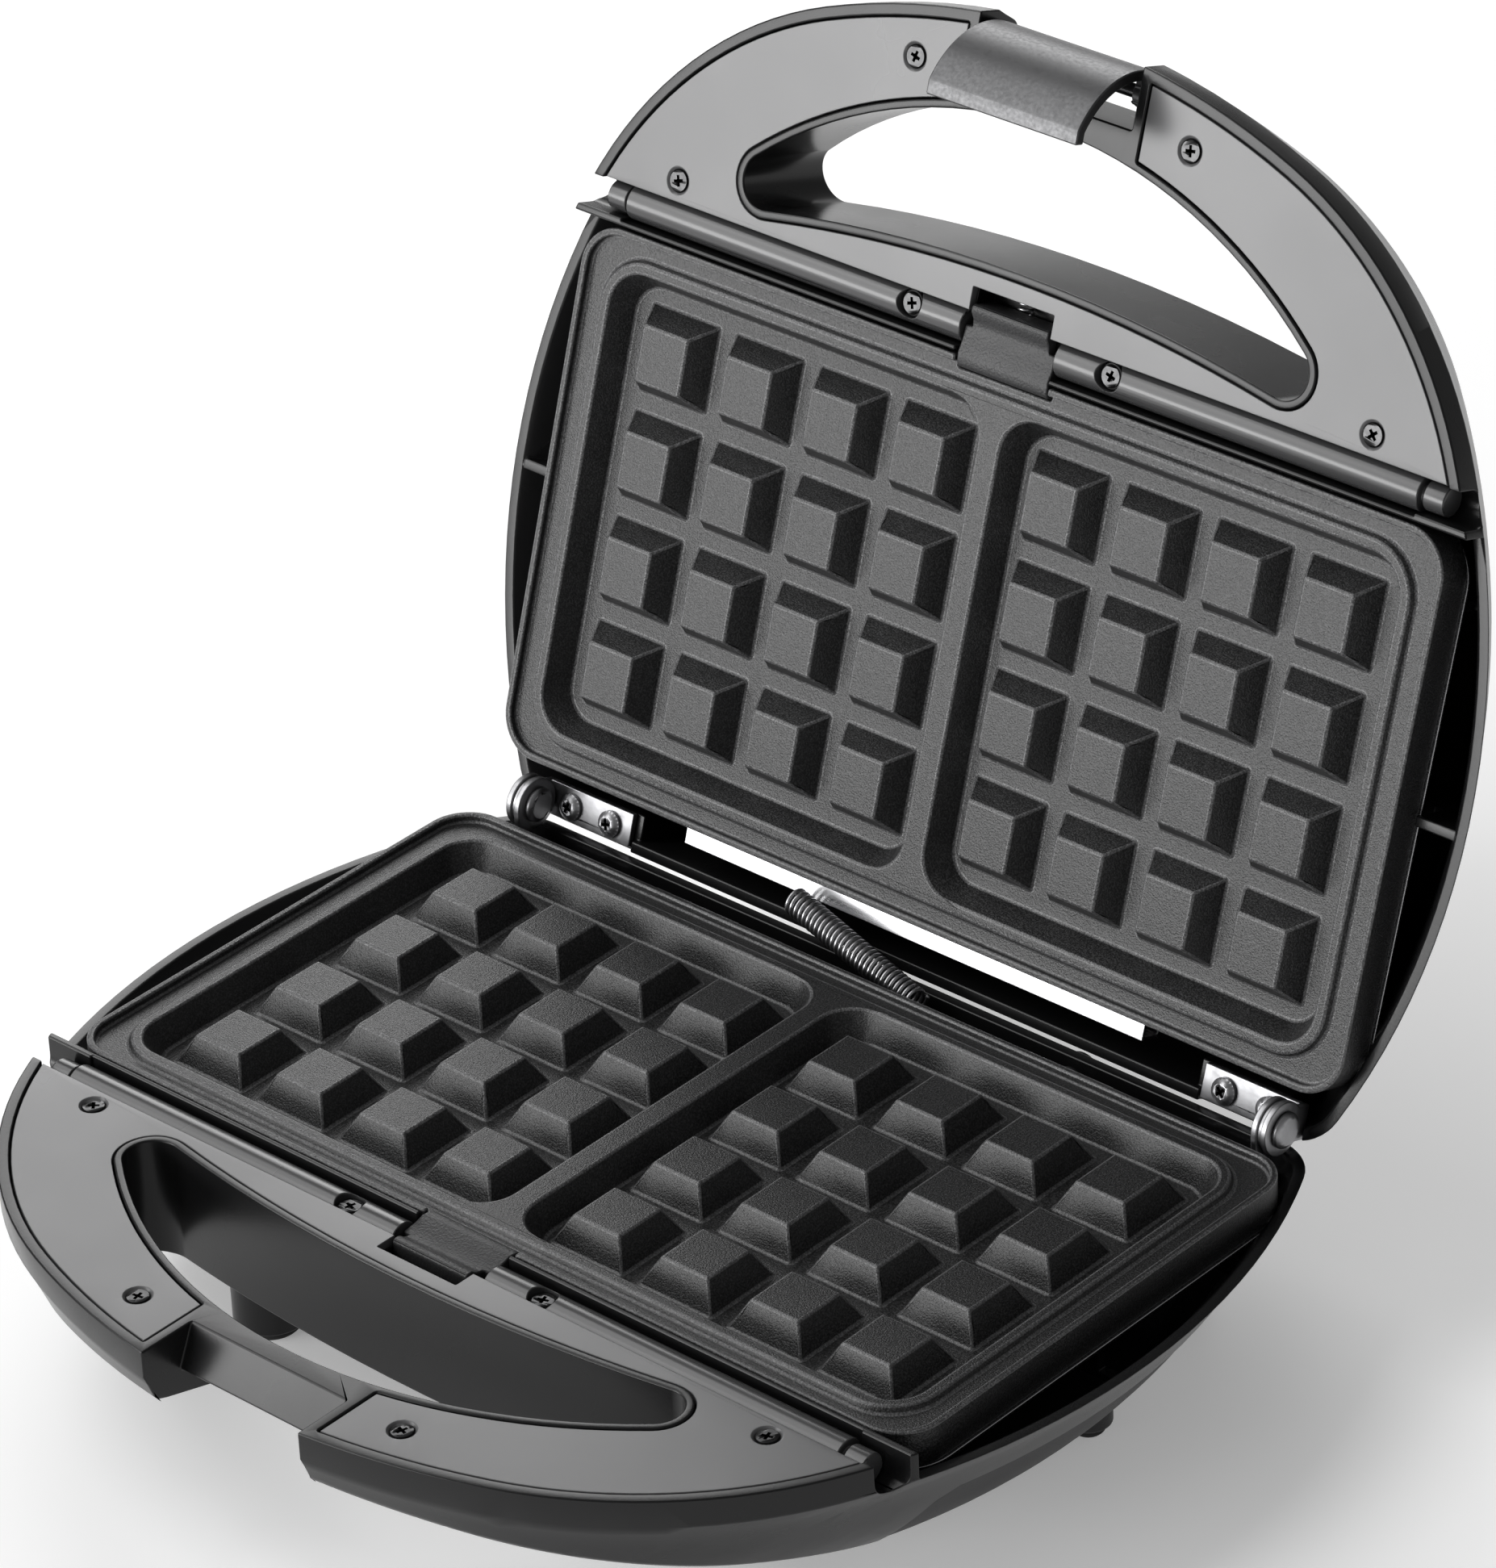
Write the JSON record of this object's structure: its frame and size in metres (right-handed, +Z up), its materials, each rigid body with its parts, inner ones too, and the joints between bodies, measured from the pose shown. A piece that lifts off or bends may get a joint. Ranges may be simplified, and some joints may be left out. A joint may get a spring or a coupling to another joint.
{
  "type": "waffle maker",
  "caption": "Open clamshell waffle maker with non-stick peg plates, handles with finger openings, a hook latch and sliding plate clips.",
  "frame": {"origin": "middle of the open appliance's footprint box, on the surface it stands on", "axes": "+X along the hinge line, -Y towards the user at the base handle, +Z up"},
  "size_m": [0.2614, 0.2756, 0.2353],
  "materials": {
    "gloss_black": "satin gloss moulded plastic",
    "matte_black": "fine matte texture",
    "panel_grey": "smooth gloss",
    "clip_black": "grained",
    "latch_dark": "satin",
    "non_stick": "dark non-stick coating on cast metal",
    "zinc_steel": "bright zinc plate",
    "bright_sheet": "bright sheet",
    "dark_screw": "blackened",
    "heater_steel": "dull heater sheath",
    "spring_steel": "drawn wire",
    "foot_rubber": "soft",
    "lens_red": "clear coloured",
    "lens_green": "clear coloured",
    "ceramic": "pale insulator"
  },
  "bodies": {
    "base": {"base_housing": "gloss_black", "base_handle_panel": "panel_grey", "base_front_rail": "gloss_black", "base_panel_screws": "dark_screw", "base_rail_screws": "dark_screw", "base_clip_spring": "spring_steel", "base_waffle_plate": "non_stick", "base_reflector_pan": "bright_sheet", "base_heating_element": "heater_steel", "base_plate_hook": "bright_sheet", "base_hinge_bracket_right": "zinc_steel", "base_hinge_bracket_left": "zinc_steel", "base_thermostat": "ceramic", "base_bracket_screws": "zinc_steel", "hinge_rivets": "zinc_steel", "hinge_washers": "zinc_steel", "base_bottom_cover": "matte_black", "rubber_feet": "foot_rubber", "thermal_fuse": "ceramic", "terminal_block": "ceramic", "cord_gland": "matte_black", "conduit_spring": "spring_steel"},
    "lid": {"lid_housing": "gloss_black", "lid_handle_panel": "panel_grey", "lid_front_rail": "gloss_black", "lid_panel_screws": "dark_screw", "lid_rail_screws": "dark_screw", "lid_clip_spring": "spring_steel", "lid_waffle_plate": "non_stick", "lid_reflector_pan": "bright_sheet", "lid_heating_element": "heater_steel", "lid_plate_hook": "bright_sheet", "lid_hinge_bracket_right": "zinc_steel", "lid_hinge_bracket_left": "zinc_steel", "lid_thermostat": "ceramic", "lid_bracket_screws": "zinc_steel", "latch_pin": "dark_screw", "power_lamp_lens": "lens_red", "ready_lamp_lens": "lens_green", "lamp_board": "ceramic"},
    "latch": {"latch": "latch_dark"},
    "base_clip": {"base_release_clip": "clip_black"},
    "lid_clip": {"lid_release_clip": "clip_black"}
  },
  "joints": [
    {"name": "lid_hinge", "type": "hinge", "parent": "base", "child": "lid", "pos_m": [0, 0.06313, 0.0445], "axis": [1, 0, 0], "range_deg": [0, 108.2], "deforming": ["conduit_spring"]},
    {"name": "latch_pivot", "type": "hinge", "parent": "lid", "child": "latch", "pos_m": [0, 0.13117, 0.22582], "axis": [-1, 0, 0], "range_deg": [0, 35]},
    {"name": "base_clip_slide", "type": "slide", "parent": "base", "child": "base_clip", "axis": [0, -1, 0], "range_m": [0, 0.0033], "stiffness_N_per_m": 500, "springref_m": -0.002, "deforming": ["base_clip_spring"]},
    {"name": "lid_clip_slide", "type": "slide", "parent": "lid", "child": "lid_clip", "axis": [0, 0.3123, 0.95], "range_m": [0, 0.0033], "stiffness_N_per_m": 500, "springref_m": -0.002, "deforming": ["lid_clip_spring"]}
  ]
}
